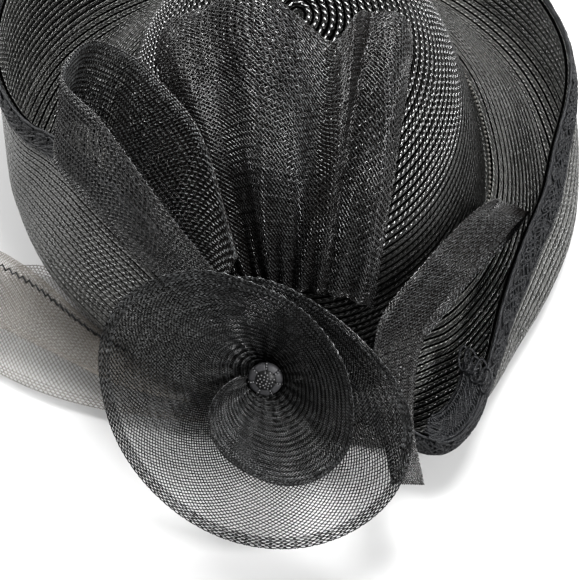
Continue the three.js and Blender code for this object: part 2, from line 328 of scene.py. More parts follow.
# Ribbon loops: a row for each station along the ribbon, with its low and its high edge.
LOOP_COLUMNS = "low_x low_y low_z high_x high_y high_z"
LEFT_LOOP = table(
    LOOP_COLUMNS,
    (-33, -97, 82, -25, -96, 95),
    (-57, -80, 81, -46, -72, 105),
    (-83, -50, 81, -74, -33, 112),
    (-98, -29, 78, -92, -8, 110),
    (-96, -12, 80, -82, 4, 114),
    (-82, -17, 84, -65, -6, 120),
    (-68, -40, 88, -51, -23, 124),
    (-52, -66, 91, -36, -46, 126),
    (-28, -93, 93, -22, -89, 108),
)
RIGHT_LOOP = table(
    LOOP_COLUMNS,
    (37, -152, 38, 50, -151, 34),
    (33, -133, 50, 46, -130, 43),
    (30, -113, 62, 47, -113, 48),
    (32, -97, 71, 51, -96, 52),
    (50, -73, 73, 71, -68, 50),
    (76, -40, 61, 98, -30, 35),
    (84, -34, 56, 101.5, -25, 30),
    (76, -45, 54, 94, -36, 29),
    (56, -70, 62, 73, -64, 41),
    (39, -94, 63, 53, -92, 46),
)
SIDE_LOOP = table(
    LOOP_COLUMNS,
    (-43, -109, 15.6, -52, -89, 15.6),
    (-72, -101, 14, -85, -73, 13.5),
    (-114, -80, 14, -119, -43, 13.5),
    (-140, -68, 13, -138, -33, 13),
    (-151, -70, 9, -147, -36, 9),
    (-141, -82, 5, -138, -39, 5),
    (-115, -97, 4, -113, -38, 5),
    (-80, -108, 5, -84, -59, 5),
    (-38, -115, 8, -50, -82, 8),
)
BUTTON_PROFILE = table(
    "radius height",
    (0, 0),
    (5.6, 0),
    (6.6, 1),
    (6.6, 2),
    (5.8, 2.9),
    (4, 3),
    (3.2, 3.4),
    (1.8, 4),
    (0, 4.2),
)

# The crown's own axis, as it stands in the frame
crown_low, crown_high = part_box("crown")
HAT_SHIFT = np.array([(crown_low.x + crown_high.x) / 2, crown_low.y + CROWN_HALF_FRONT * METRES, 0.0])


# Curves and lines

def read(rows, at, period=0):
    """A table's other columns at any places of its first one, on smooth curves through its rows."""
    columns = np.array(list(rows.values()))
    if period:
        at = columns[0, 0] + (at - columns[0, 0]) % period
        columns = np.pad(columns, ((0, 0), (1, 2)), mode="wrap")
        columns[0, 0] -= period
        columns[0, -2:] += period
    else:
        columns = np.pad(columns, ((0, 0), (1, 1)), mode="edge")
    xs, ys = columns[0], columns[1:]
    i = np.clip(np.searchsorted(xs[1:-1], at, side="right"), 1, len(xs) - 3)
    span = xs[i + 1] - xs[i]
    t = (at - xs[i]) / span
    slope_in = (ys[:, i + 1] - ys[:, i - 1]) / (xs[i + 1] - xs[i - 1]) * span
    slope_out = (ys[:, i + 2] - ys[:, i]) / (xs[i + 2] - xs[i]) * span
    ease = t * t * (3 - 2 * t)
    pull = t * (1 - t) ** 2 * slope_in - t * t * (1 - t) * slope_out
    return ys[:, i] + (ys[:, i + 1] - ys[:, i]) * ease + pull


def unit(vectors):
    return vectors / np.maximum(np.linalg.norm(vectors, axis=-1, keepdims=True), LEAST_LENGTH)


def distances(points):
    """How far along a line each of its points lies, for one line or for several side by side."""
    steps = np.linalg.norm(np.diff(points, axis=0), axis=-1)
    return np.concatenate([np.zeros_like(steps[:1]), np.cumsum(steps, axis=0)])


def at_distances(points, away, wanted):
    """Points at wanted distances along a line, whose own points lie at the distances away."""
    return np.stack([np.interp(wanted, away, points[:, axis]) for axis in range(3)], -1)


# Meshes

def add_object(name, data):
    thing = bpy.data.objects.new(name, data)
    bpy.context.scene.collection.objects.link(thing)
    return thing


def add_piece(name, points, faces, material, maps=None):
    """A mesh from points in millimetres and arrays of faces, riding on the hat's one body.
    maps holds UV maps by name, with a place for each point or for each corner."""
    mesh = bpy.data.meshes.new(name)
    mesh.vertices.add(len(points))
    mesh.vertices.foreach_set("co", (points * METRES + HAT_SHIFT).astype(np.float32).ravel())
    corners = np.concatenate([f.ravel() for f in faces])
    sizes = np.concatenate([np.full(len(f), f.shape[1]) for f in faces])
    mesh.loops.add(len(corners))
    mesh.loops.foreach_set("vertex_index", corners.astype(np.int32))
    mesh.polygons.add(len(sizes))
    mesh.polygons.foreach_set("loop_start", (np.cumsum(sizes) - sizes).astype(np.int32))
    mesh.polygons.foreach_set("use_smooth", np.full(len(sizes), True))
    mesh.update(calc_edges=True)
    for map_name, uv in (maps or {}).items():
        layer = mesh.uv_layers.new(name=map_name)
        corner_uv = uv if len(uv) == len(corners) else uv[corners]
        layer.data.foreach_set("uv", corner_uv.astype(np.float32).ravel())
    mesh.materials.append(material)
    piece = add_object(name, mesh)
    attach(piece, "root")
    return piece


def join_doubles(piece, distance=0.01):
    """Joins the points that coincide, as at a pole, and turns all faces outwards."""
    work = bmesh.new()
    work.from_mesh(piece.data)
    bmesh.ops.remove_doubles(work, verts=work.verts, dist=distance * METRES)
    bmesh.ops.recalc_face_normals(work, faces=work.faces)
    work.to_mesh(piece.data)
    work.free()


def merged(parts):
    """Several meshes as one array of points and one list of face arrays."""
    points, faces, count = [], [], 0
    for vertices, groups in parts:
        points.append(vertices)
        faces.extend(group + count for group in groups)
        count += len(vertices)
    return np.concatenate(points), faces


def ring_faces(turns, stations, closed_section):
    """Quads of a grid that goes once round, and each corner's turn and station, counted on at the join."""
    last = stations if closed_section else stations - 1
    i, j = np.meshgrid(np.arange(turns), np.arange(last), indexing="ij")
    turn = np.stack([i, i + 1, i + 1, i], -1).reshape(-1, 4)
    station = np.stack([j, j, j + 1, j + 1], -1).reshape(-1, 4)
    return (turn % turns) * stations + station % stations, turn.ravel(), station.ravel()


def tubes(points, starts, normals, radius, sides, closed=False):
    """Round threads along lines of points: starts holds where each line begins in the arrays."""
    here = np.arange(len(points))
    ahead = np.roll(here, -1)
    behind = np.roll(here, 1)
    begins = np.asarray(starts)
    ends = np.append(begins[1:], len(points)) - 1
    if not closed:
        ahead[ends] = ends
        behind[begins] = begins
    along = unit(points[ahead] - points[behind])
    side = unit(np.cross(along, normals))
    up = np.cross(side, along)
    sides_at = np.arange(sides)
    angle = sides_at / sides * math.tau
    rim = np.cos(angle)[None, :, None] * up[:, None] + np.sin(angle)[None, :, None] * side[:, None]
    vertices = (points[:, None] + radius * rim).reshape(-1, 3)
    goes_on = np.nonzero(ahead != here)[0]
    low = goes_on[:, None] * sides
    high = ahead[goes_on][:, None] * sides
    beside = (sides_at + 1) % sides
    quads = np.stack([low + sides_at, low + beside, high + beside, high + sides_at], -1)
    faces = [quads.reshape(-1, 4)]
    if not closed:
        faces.append(begins[:, None] * sides + sides_at[::-1])
        faces.append(ends[:, None] * sides + sides_at)
    return vertices, faces


def cord(line, radius, sides, closed=False):
    """One round cord along a line, given as its points and the directions out of its ground."""
    points, normals = line
    return tubes(points, [0], normals, radius, sides, closed)


def ball(rings, sides):
    """A ball of radius 1 about the origin: its points, and its quads and triangles."""
    lat = np.linspace(0, math.pi, rings + 1)[1:-1]
    lon = np.arange(sides) / sides * math.tau
    a, b = np.meshgrid(lat, lon, indexing="ij")
    shell = np.stack([np.sin(a) * np.cos(b), np.sin(a) * np.sin(b), np.cos(a)], -1).reshape(-1, 3)
    top, bottom = len(shell), len(shell) + 1
    shell = np.concatenate([shell, [[0, 0, 1], [0, 0, -1]]])
    i, j = np.meshgrid(np.arange(rings - 2) * sides, np.arange(sides), indexing="ij")
    k = (j + 1) % sides
    quads = np.stack([i + j, i + sides + j, i + sides + k, i + k], -1).reshape(-1, 4)
    j = np.arange(sides)
    k = (j + 1) % sides
    last_ring = (rings - 2) * sides
    upper = np.stack([np.full(sides, top), j, k], -1)
    lower = np.stack([np.full(sides, bottom), last_ring + k, last_ring + j], -1)
    return shell, [quads, np.concatenate([upper, lower])]


def scattered(shell, groups, centres, axes):
    """Copies of a small mesh at points, each stretched along its own three axes."""
    points = centres[:, None] + np.einsum("pi,nij->npj", shell, axes)
    shift = (np.arange(len(centres)) * len(shell))[:, None, None]
    faces = [(group + shift).reshape(-1, group.shape[1]) for group in groups]
    return points.reshape(-1, 3), faces


def beads(centres, radius):
    """Small round beads at points."""
    axes = np.broadcast_to(np.eye(3) * radius, (len(centres), 3, 3))
    return scattered(*ball(**BEAD_MESH), centres, axes)


# Surfaces of the hat

def seam_radius(turn):
    """The crown's outside radius at its seam."""
    half_length = np.where(np.cos(turn) > 0, CROWN_HALF_FRONT, CROWN_HALF_BACK)
    return 1 / np.hypot(np.sin(turn) / CROWN_HALF_WIDTH, np.cos(turn) / half_length)


def even_turns(steps):
    """Turns once round the hat in radians, from its back."""
    return np.arange(steps) / steps * math.tau + math.pi


def round_hat(turn, section):
    """Points of sections [turn, station, (radius, height)] set round the hat."""
    radius, height = section[..., 0], section[..., 1]
    x = radius * np.sin(turn)[:, None]
    y = -radius * np.cos(turn)[:, None]
    return np.stack([x, y, height], -1)


def round_line(turn, section):
    """Points of one line round the hat, from its radius and height at each turn."""
    return round_hat(turn, section[:, None])[:, 0]


def level_ring(turn, radius, height):
    """Points of a line round the hat at one height."""
    return round_line(turn, np.stack([radius, np.full_like(radius, height)], -1))


def line_normals(lines):
    """Directions to the right of lines in sections, kept steady where a line's points coincide."""
    along = np.gradient(lines, axis=1)
    for line in along:
        still = np.linalg.norm(line, axis=1) < LEAST_LENGTH
        line[still] = line[~still][-1]
    along = unit(along)
    return np.stack([along[..., 1], -along[..., 0]], -1)


def add_braided_wall(name, turn, section, rows, material, node):
    """A closed wall of sections round the hat, with its braid's rows counted at each station."""
    grid = round_hat(turn, section)
    stations = section.shape[1]
    quads, at_turn, at_station = ring_faces(len(turn), stations, True)
    station = at_station % stations
    along = distances(np.append(grid, grid[:1], axis=0))
    maps = {
        "OFBake": np.stack([at_turn / len(turn), at_station / stations], -1),
        "braid": np.stack([along[at_turn, station], rows[station]], -1),
    }
    piece = add_piece(name, grid.reshape(-1, 3), [quads], material, maps)
    join_doubles(piece)
    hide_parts(node)


# Crown

def crown_line(station):
    """The crown's outside at stations of its profile: its share of the seam's radius and its height."""
    rise, share = read(CROWN_PROFILE, station)
    return np.clip(share, 0, 1), rise + SEAM_HEIGHT + SEAM_GAP


def crown_stations(rows):
    """Stations of the crown's profile, from a number of braid rows up from the seam."""
    fine = np.linspace(0, CROWN_PROFILE["station"][-1], CROWN_PROFILE_STEPS)
    share, height = crown_line(fine)
    mean_radius = (CROWN_HALF_WIDTH + CROWN_HALF_FRONT) / 2
    away = distances(np.stack([share * mean_radius, height], -1))
    return np.interp(rows / CROWN_ROWS * away[-1], away, fine)


def add_crown():
    """The crown's wall of braid, open below. Its face lies one groove deep, under the grains."""
    turn = even_turns(CROWN_TURN_STEPS)
    rows = np.arange(CROWN_ROWS * 2 + 1) / 2
    share, height = crown_line(crown_stations(rows))
    radius = seam_radius(turn)[:, None] * share
    face = np.stack([radius, np.broadcast_to(height, radius.shape)], -1)
    inward = -line_normals(face)
    outer = face + inward * ROW_GROOVE
    inner = (face + inward * STRAW_WALL)[:, ::2]
    outer[:, -1] = [0, height[-1]]
    inner[:, -1] = [0, height[-1] - STRAW_WALL]
    inner[:, 0, 1] = outer[:, 0, 1]
    section = np.concatenate([outer, inner[:, ::-1]], 1)
    wall_rows = np.concatenate([rows, rows[::2][::-1]])
    add_braided_wall("crown_braid", turn, section, wall_rows, CROWN_STRAW_PAINTED_SHADE, "crown")


def add_crown_plaits():
    """Slanting grains in rings round the crown, which sink into its wall towards the seam."""
    sunk = ROW_GROOVE + GRAIN_RISE - GRAIN_SHOWS
    lean = math.radians(GRAIN_SLANT)
    turn = np.linspace(0, math.tau, RING_STEPS)
    lines = crown_line(crown_stations(np.arange(CROWN_ROWS) + 0.5))
    spots, axes = [], []
    for row, (share, height) in enumerate(zip(*lines)):
        ring = level_ring(turn, seam_radius(turn) * share, height)
        away = distances(ring)
        count = round(away[-1] / GRAIN_SPACING)
        if count < LEAST_GRAINS:
            continue
        at = (np.arange(count) + ROW_SLIP * row) / count * away[-1]
        spot, ahead, behind = (at_distances(ring, away, (at + off) % away[-1]) for off in (0, NEAR, -NEAR))
        out = crown_normals(spot[:, 0], spot[:, 1])
        level = unit(ahead - behind)
        upward = unit(np.cross(out, level))
        along = level * math.cos(lean) + upward * math.sin(lean)
        across = upward * math.cos(lean) - level * math.sin(lean)
        rise = np.cross(along, across) * GRAIN_RISE
        spots.append(spot - out * np.interp(row, GRAIN_SUNK_ROWS, (sunk, GRAIN_DEPTH)))
        axes.append(np.stack([across * GRAIN_WIDTH / 2, rise, along * GRAIN_LENGTH / 2], 1))
    points, faces = scattered(*ball(**GRAIN_MESH), np.concatenate(spots), np.concatenate(axes))
    add_piece("crown_plaits", points, faces, PLAITS)


def height_on_crown(x, y):
    """The height of the crown's outside over points of the ground."""
    share = np.hypot(x, y) / seam_radius(np.arctan2(x, -y))
    rows = {"inward": 1 - CROWN_PROFILE["share"], "rise": CROWN_PROFILE["rise"]}
    return SEAM_HEIGHT + SEAM_GAP + read(rows, 1 - np.minimum(share, 1))[0]


def crown_normals(x, y):
    """Directions straight out of the crown's outside over points of the ground."""
    slope_x = (height_on_crown(x + NEAR, y) - height_on_crown(x - NEAR, y)) / (2 * NEAR)
    slope_y = (height_on_crown(x, y + NEAR) - height_on_crown(x, y - NEAR)) / (2 * NEAR)
    return unit(np.stack([-slope_x, -slope_y, np.ones_like(slope_x)], -1))


def over_crown(x, y, lift):
    """Points at a distance from the crown's outside."""
    return np.stack([x, y, height_on_crown(x, y)], -1) + crown_normals(x, y) * lift[..., None]


# Brim

def brim_turns(steps):
    """Turns once round the brim, closer together at the front."""
    turn = even_turns(steps)
    return turn - BRIM_FRONT_CROWDING * np.sin(turn)


def brim_controls(turn):
    """The points that the brim's middle line goes through at each turn, from under the crown to the rim."""
    fold, fold_height, rim, rim_height = read(BRIM_SECTIONS, np.degrees(turn), period=360)
    seam = seam_radius(turn)
    seam_height = np.full_like(seam, SEAM_HEIGHT - STRAW_WALL / 2)
    start = seam + SEAM_ROW
    way = fold - start
    bed = np.maximum(fold_height, 0) + STRAW_WALL / 2
    bend_height = bed + FOLD_LIFT
    line = [
        (seam - SEAM_ROW, seam_height),
        (start, seam_height),
        (start + way * SLOPE_OUT, seam_height + (bed - seam_height) * SLOPE_DROP),
        (start + way * BED_INSIDE, bed),
        (start + way * BED_OUTSIDE, bed),
        (start + way * BEND_OUT, bed + FOLD_LIFT * BEND_LIFT),
        (fold, bend_height),
        ((fold + rim) / 2 + CUFF_BOW, (bend_height + rim_height) / 2),
        (rim, rim_height),
    ]
    return np.stack([np.stack(point, -1) for point in line], 1)


def smooth_line(controls, back):
    """Points at distances back from a line's end, on a smooth curve through its control points."""
    away = distances(controls)
    rows = {"away": away, "radius": controls[:, 0], "height": controls[:, 1]}
    return read(rows, np.maximum(away[-1] - back, 0)).T


def row_stations(rows):
    """Places along a braided wall, counted in rows, and how far each one sinks into a groove."""
    places = (np.arange(rows)[:, None] + ROW_PROFILE["place"]).ravel()
    sink = np.tile(ROW_PROFILE["sink"], rows)
    return np.append(places, rows), np.append(sink, 1.0) * ROW_GROOVE


def add_brim():
    """The rows run along the rim, so where the brim is narrow fewer of them reach in to the crown."""
    turn = brim_turns(BRIM_TURN_STEPS)
    controls = brim_controls(turn)
    longest = distances(controls.swapaxes(0, 1))[-1].max()
    rows, sink = row_stations(math.ceil(longest / BRIM_ROW_PITCH))
    middle = np.stack([smooth_line(line, rows * BRIM_ROW_PITCH) for line in controls])
    up = line_normals(middle)
    depth = (STRAW_WALL / 2 - sink)[:, None]
    upper = middle + up * depth
    under = middle - up * depth
    under[..., 1] = np.maximum(under[..., 1], 0)
    section = np.concatenate([under, upper[:, ::-1]], 1)
    wall_rows = np.concatenate([rows, rows[::-1]])
    add_braided_wall("brim_braid", turn, section, wall_rows, BRIM_STRAW, "brim")


# Ribbons: each surface takes places along and across the ribbon, from 0 to 1

def fan_surface(u, v):
    """The pleated fan: u goes across its folds, and v from their tips to the foot."""
    foot, tip, reach, lift = read(FAN_FOLDS, u)
    along = 1 - v
    x = foot + (tip - foot) * along
    y = FAN_FOOT_Y + (reach - FAN_FOOT_Y) * along**FAN_SPREAD_POWER
    gather = FAN_GATHER_DEPTH * np.sin(math.tau * FAN_GATHERS * u) * v**FAN_GATHER_POWER
    return over_crown(x, y, lift + (FAN_FOOT_LIFT - lift) * v**FAN_LIFT_POWER + gather)


def edge_curve(rows, edge):
    """A smooth curve through one edge of a ribbon's table, as a function of 0 to 1."""
    points = np.stack([rows[edge + axis] for axis in ("_x", "_y", "_z")], -1)
    before = 2 * points[0] - points[1]
    after = 2 * points[-1] - points[-2]
    spots = np.concatenate([[before], points, [after]])
    gaps = np.linalg.norm(np.diff(spots, axis=0), axis=1) ** 0.5

    def curve(t):
        place = np.clip(t, 0, 1) * (len(points) - 1)
        i = np.minimum(place.astype(int), len(points) - 2)
        w = (place - i)[..., None]
        p0, p1, p2, p3 = (spots[i + k] for k in range(4))
        d0, d1, d2 = (gaps[i + k][..., None] for k in range(3))
        t1 = ((p1 - p0) / d0 - (p2 - p0) / (d0 + d1) + (p2 - p1) / d1) * d1
        t2 = ((p2 - p1) / d1 - (p3 - p1) / (d1 + d2) + (p3 - p2) / d2) * d1
        cubic = (2 * p1 - 2 * p2 + t1 + t2) * w**3
        square = (-3 * p1 + 3 * p2 - 2 * t1 - t2) * w**2
        return p1 + t1 * w + square + cubic

    return curve


def loop_surface(rows):
    """A ribbon loop, straight across between its two edges."""
    low, high = edge_curve(rows, "low"), edge_curve(rows, "high")

    def surface(u, v):
        start = low(u)
        return start + (high(u) - start) * np.asarray(v)[..., None]

    return surface


def round_rosette(radius, turn, height):
    """Points about the rosette's own axis, tilted to face the front and set in the rosette's place."""
    tilt = math.radians(ROSETTE_TILT)
    x = radius * np.cos(turn)
    y = radius * np.sin(turn)
    back = y * math.cos(tilt) - height * math.sin(tilt)
    up = y * math.sin(tilt) + height * math.cos(tilt)
    return np.stack([x, back, up], -1) + ROSETTE_PLACE


def rosette_surface(u, v):
    """The spiral ribbon: u goes round its turns, and v from the eye to the outer edge."""
    first, last = ROSETTE_TURNS["turn"][[0, -1]]
    turn = first + (last - first) * u
    edge_radius, edge_height = read(ROSETTE_TURNS, turn)
    depth = ROSETTE_EYE_DEPTH[0] + (ROSETTE_EYE_DEPTH[1] - ROSETTE_EYE_DEPTH[0]) * u
    radius = ROSETTE_EYE_RADIUS + (edge_radius - ROSETTE_EYE_RADIUS) * v
    gather = np.sin(math.tau * ROSETTE_GATHERS * u) * v * (1 - v) ** 3 * ROSETTE_GATHER_SCALE
    height = depth + (edge_height - depth) * v**ROSETTE_FLARE + ROSETTE_GATHER_DEPTH * gather
    return round_rosette(radius, np.radians(turn), height)


# Crinoline

def flat_size(surface):
    """A ribbon's mean length, its mean width and the length of its longest line."""
    u, v = np.meshgrid(*(np.linspace(0, 1, samples) for samples in RIBBON_SAMPLES), indexing="ij")
    points = surface(u, v)
    lengths = np.linalg.norm(np.diff(points, axis=0), axis=-1).sum(0)
    width = np.linalg.norm(np.diff(points, axis=1), axis=-1).sum(1).mean()
    return lengths.mean(), width, lengths.max()


def bias_lines(length, width, weave, lean):
    """Threads that slant across a flat ribbon, to the side that lean says, 1 or -1, and lie on top in
    every other row. Each is arrays of places along and across, of the sway off it and of its painted glint,
    which only threads that lean to 1 take, where they lie on top."""
    lines = []
    count = max(round(width / weave.row), 1)
    row = width / count
    step = weave.pitch * math.sqrt(2)
    for k in range(math.ceil(-width / step), math.floor(length / step) + 1):
        start = max(0, -k * step)
        stop = min(width, length - k * step)
        rows = np.arange(math.ceil(start / row - 0.5), math.floor(stop / row - 0.5) + 1)
        if len(rows) < 2:
            continue
        across = np.concatenate([[start], (rows + 0.5) * row, [stop]])
        along = across + k * step
        from_low = rows if lean > 0 else count - 1 - rows
        over = np.concatenate([[0], np.where(from_low % 2, weave.sway, -weave.sway) * lean, [0]])
        # Painted glint: only threads of one slant take it, where they lie on top, as light would catch one
        # slant
        pale = np.maximum(over / weave.sway, 0) if lean > 0 else np.zeros_like(over)
        lines.append((along, across if lean > 0 else width - across, over, pale))
    return lines


def hem_lines(length, width, weave, edges):
    """Threads that lie close together along the ribbon's edges."""
    lines = []
    count = int(length / weave.row)
    along = np.linspace(0, length, count + 1)
    for edge in edges:
        insets = np.arange(weave.pitch * HEM_START, HEM_WIDTH, weave.pitch * HEM_SPACING)
        for k, inset in enumerate(insets):
            across = width - inset if edge == "high" else inset
            over = np.where((np.arange(count + 1) + k) % 2, weave.sway, -weave.sway)
            # Hem threads take the painted glint where they lie on top
            lines.append((along, np.full(count + 1, across), over, np.maximum(over / weave.sway, 0)))
    return lines


def add_net(name, surface, node, weave, hems, material):
    """A ribbon of open bias net made of single threads, with threads laid close along its hems."""
    length, width, longest = flat_size(surface)
    lines = bias_lines(length, width, weave, 1) + bias_lines(length, width, weave, -1)
    lines += hem_lines(length, width, weave, hems)
    starts = np.cumsum([0] + [len(line[0]) for line in lines[:-1]])
    along, across, over, pale = (np.concatenate(parts) for parts in zip(*lines))
    u, v = along / length, across / width
    lengthways = surface(np.minimum(u + RIBBON_NEAR, 1), v) - surface(np.maximum(u - RIBBON_NEAR, 0), v)
    sideways = surface(u, np.minimum(v + RIBBON_NEAR, 1)) - surface(u, np.maximum(v - RIBBON_NEAR, 0))
    normals = unit(np.cross(lengthways, sideways))
    points = surface(u, v) + normals * over[:, None]
    vertices, faces = tubes(points, starts, normals, weave.radius, THREAD_SIDES)
    # The map float carries each thread's painted glint
    places = {"OFBake": (u, v), "weave": (along, across), "float": (pale, np.zeros_like(pale))}
    maps = {key: np.repeat(np.stack(pair, -1), THREAD_SIDES, axis=0) for key, pair in places.items()}
    piece = add_piece(name, vertices, faces, material, maps)
    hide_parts(node)
    return piece, (width * METRES, longest * METRES)


# Materials

class Nodes:
    """Short ways to make the nodes of one material, or of the world."""

    def __init__(self, name, kind="materials", shader="Principled BSDF"):
        self.owner = getattr(bpy.data, kind).new(name)
        self.owner.use_nodes = True
        self.tree = self.owner.node_tree
        self.shader = self.tree.nodes[shader]

    def put(self, socket, value):
        """Links a socket to another one, or sets its value."""
        if isinstance(value, bpy.types.NodeSocket):
            self.tree.links.new(value, socket)
        else:
            socket.default_value = value

    def put_all(self, node, inputs):
        for name, value in inputs.items():
            self.put(node.inputs[name.replace("_", " ")], value)

    def add(self, kind, **inputs):
        node = self.tree.nodes.new("ShaderNode" + kind)
        self.put_all(node, inputs)
        return node

    def finish(self, **inputs):
        """Sets the shader's inputs and gives the material or the world."""
        self.put_all(self.shader, inputs)
        return self.owner

    def math(self, operation, *values):
        node = self.add("Math")
        node.operation = operation
        for socket, value in zip(node.inputs, values):
            self.put(socket, value)
        return node.outputs[0]

    def blend(self, factor, low, high):
        """A colour between two colours."""
        node = self.add("Mix")
        node.data_type = "RGBA"
        for name, value in (("Factor", factor), ("A", low), ("B", high)):
            self.put(node.inputs[name], (*value, 1) if isinstance(value, tuple) else value)
        return node.outputs["Result"]

    def between(self, factor, low, high, start=0.0, stop=1.0):
        """A number that goes from low to high while the factor goes from start to stop."""
        node = self.add("MapRange", Value=factor, From_Min=start, From_Max=stop, To_Min=low, To_Max=high)
        return node.outputs["Result"]

    def place(self):
        return self.add("TexCoord").outputs["Object"]

    def flat_place(self, map_name):
        """The two coordinates of a UV map."""
        node = self.add("UVMap")
        node.uv_map = map_name
        parts = self.add("SeparateXYZ", Vector=node.outputs["UV"])
        return parts.outputs["X"], parts.outputs["Y"]

    def noise(self, scale, detail=3.0):
        return self.add("TexNoise", Vector=self.place(), Scale=scale, Detail=detail).outputs["Fac"]

    def chance(self, vector):
        """A random number for each value of a vector."""
        return self.add("TexWhiteNoise", Vector=vector).outputs["Value"]

    def uneven(self, chance):
        """A shade that is half a random number and half soft patches."""
        return self.math("MULTIPLY", self.math("ADD", chance, self.noise(PATCHES)), 0.5)

    def bump(self, height, distance, strength=1.0):
        node = self.add("Bump", Strength=strength, Distance=distance, Height=height)
        self.put(self.shader.inputs["Normal"], node.outputs["Normal"])


def make_straw(name, dark, pale, edge_highlight_colour, gloss):
    """Glossy straw plaited into a flat braid: two columns of slanting strands in each row."""
    nodes = Nodes(name)
    along, row = nodes.flat_place("braid")
    across = nodes.math("FRACT", row)
    index = nodes.math("FLOOR", row)
    from_middle = nodes.math("ABSOLUTE", nodes.math("SUBTRACT", across, 0.5))
    slip = nodes.math("MULTIPLY", index, ROW_SLIP)
    plaits = nodes.math("ADD", nodes.math("DIVIDE", along, PLAIT_LENGTH), slip)
    phase = nodes.math("ADD", plaits, nodes.math("MULTIPLY", from_middle, PLAIT_SLANT))
    strand = nodes.math("ABSOLUTE", nodes.math("SINE", nodes.math("MULTIPLY", phase, math.pi)))
    column = nodes.math("FRACT", nodes.math("MULTIPLY", across, 2.0))
    half = nodes.math("SUBTRACT", nodes.math("MULTIPLY", column, 2.0), 1.0)
    edge = nodes.math("SUBTRACT", 1.0, nodes.math("POWER", nodes.math("ABSOLUTE", half), 4.0))
    nodes.bump(nodes.math("MULTIPLY", nodes.math("POWER", strand, 0.6), edge), distance=0.0007)
    which = nodes.add("CombineXYZ", X=nodes.math("FLOOR", phase), Y=index)
    chance = nodes.chance(which.outputs["Vector"])
    strands = nodes.blend(nodes.uneven(chance), dark, pale)
    # A painted highlight along each row's edge, of random strength, where the edge would catch the light
    from_slit = nodes.math("SUBTRACT", 0.5, from_middle)
    at_edge = nodes.between(from_slit, 1.0, 0.0, SLIT_REACH, EDGE_REACH)
    painted_edge_highlight = nodes.math("MULTIPLY", at_edge, nodes.between(chance, 0.5, 1.0))
    # Painted shade in the slit between rows: dark colour and no gloss there, where shadow would fall
    outside = nodes.between(from_slit, 0.0, 1.0, SLIT_REACH * SLIT_CORE, SLIT_REACH)
    return nodes.finish(
        Base_Color=nodes.blend(outside, SLIT_PAINTED_SHADE, nodes.blend(painted_edge_highlight, strands, edge_highlight_colour)),
        Specular_IOR_Level=nodes.math("MULTIPLY", outside, gloss),
        Roughness=nodes.between(chance, 0.2, 0.34),
    )


def make_plaits():
    """The single straw strands on the crown, each a little different."""
    nodes = Nodes("straw_plaits")
    chance = nodes.chance(nodes.add("NewGeometry").outputs["Random Per Island"])
    return nodes.finish(
        Base_Color=nodes.blend(nodes.uneven(chance), (0.002, 0.0024, 0.003), (0.02, 0.0195, 0.018)),
        Roughness=nodes.between(chance, 0.1, 0.22),
        Specular_IOR_Level=1.0,
        IOR=1.64,
    )


def make_crinoline(name, dark, pale, painted_glint, gloss):
    """Shiny net thread in uneven shades, with a painted glint where a thread of one slant floats over the
    others.
    """
    nodes = Nodes(name)
    along, across = nodes.flat_place("weave")
    cell_x, cell_y = (
        nodes.math("FLOOR", nodes.math("DIVIDE", nodes.math(way, along, across), GLINT_LENGTH))
        for way in ("ADD", "SUBTRACT")
    )
    cell = nodes.add("CombineXYZ", X=cell_x, Y=cell_y)
    chance = nodes.chance(cell.outputs["Vector"])
    floats, _ = nodes.flat_place("float")
    # shine is the painted glint, on floating threads of one slant, in random strength
    shine = nodes.math("MULTIPLY", floats, nodes.between(chance, 0.35, 1.0))
    thread = nodes.blend(nodes.noise(scale=45.0, detail=2.0), dark, pale)
    return nodes.finish(
        Base_Color=nodes.blend(shine, thread, painted_glint),
        Roughness=nodes.between(chance, 0.12, 0.28),
        Specular_IOR_Level=nodes.between(shine, gloss, 1.0),
    )


def make_gimp():
    """Fine twisted cord with a soft, uneven shine."""
    nodes = Nodes("gimp_cord")
    grain = nodes.noise(scale=1800.0, detail=2.0)
    nodes.bump(grain, distance=0.0008, strength=0.8)
    return nodes.finish(
        Base_Color=nodes.blend(nodes.noise(scale=130.0), (0.002, 0.0024, 0.0034), (0.02, 0.021, 0.024)),
        Roughness=nodes.between(grain, 0.32, 0.55),
        Specular_IOR_Level=0.5,
    )


def make_button():
    """A grey satin cover, black where the beads sit in its middle."""
    nodes = Nodes("button_satin")
    away = nodes.add("VectorMath", Vector=nodes.place())
    away.operation = "DISTANCE"
    away.inputs[1].default_value = round_rosette(0, 0, BUTTON_BASE) * METRES + HAT_SHIFT
    on_ring = nodes.math("GREATER_THAN", away.outputs["Value"], BUTTON_DARK_REACH * METRES)
    grain = nodes.noise(scale=1500.0, detail=2.0)
    satin = nodes.blend(grain, (0.035, 0.035, 0.039), (0.085, 0.085, 0.09))
    middle = nodes.blend(grain, (0.002, 0.002, 0.002), (0.006, 0.006, 0.007))
    return nodes.finish(
        Base_Color=nodes.blend(on_ring, middle, satin),
        Roughness=nodes.between(grain, 0.4, 0.6),
    )


def make_beads(name, dark, pale, roughness):
    """Small glossy things, a little uneven in shade and polish."""
    nodes = Nodes(name)
    grain = nodes.noise(scale=900.0)
    return nodes.finish(
        Base_Color=nodes.blend(grain, dark, pale),
        Roughness=nodes.between(grain, *roughness),
    )


# Each material's name, its colours from dark to pale, and its gloss or its roughness from low to high
# The straw's third colour is the painted highlight along each row's edge
BRIM_STRAW = make_straw("brim_straw", (0.019, 0.0195, 0.02), (0.06, 0.06, 0.055), (0.19, 0.19, 0.18), 0.8)
# The crown's wall is a darker, less glossy copy of the brim's straw: its darkness is painted shade for the
# wall sunk under the grains
CROWN_STRAW_PAINTED_SHADE = make_straw(
    "crown_straw_painted_shade", (0.003, 0.0033, 0.0036), (0.012, 0.012, 0.011), (0.03, 0.03, 0.028), 0.25
)
PLAITS = make_plaits()
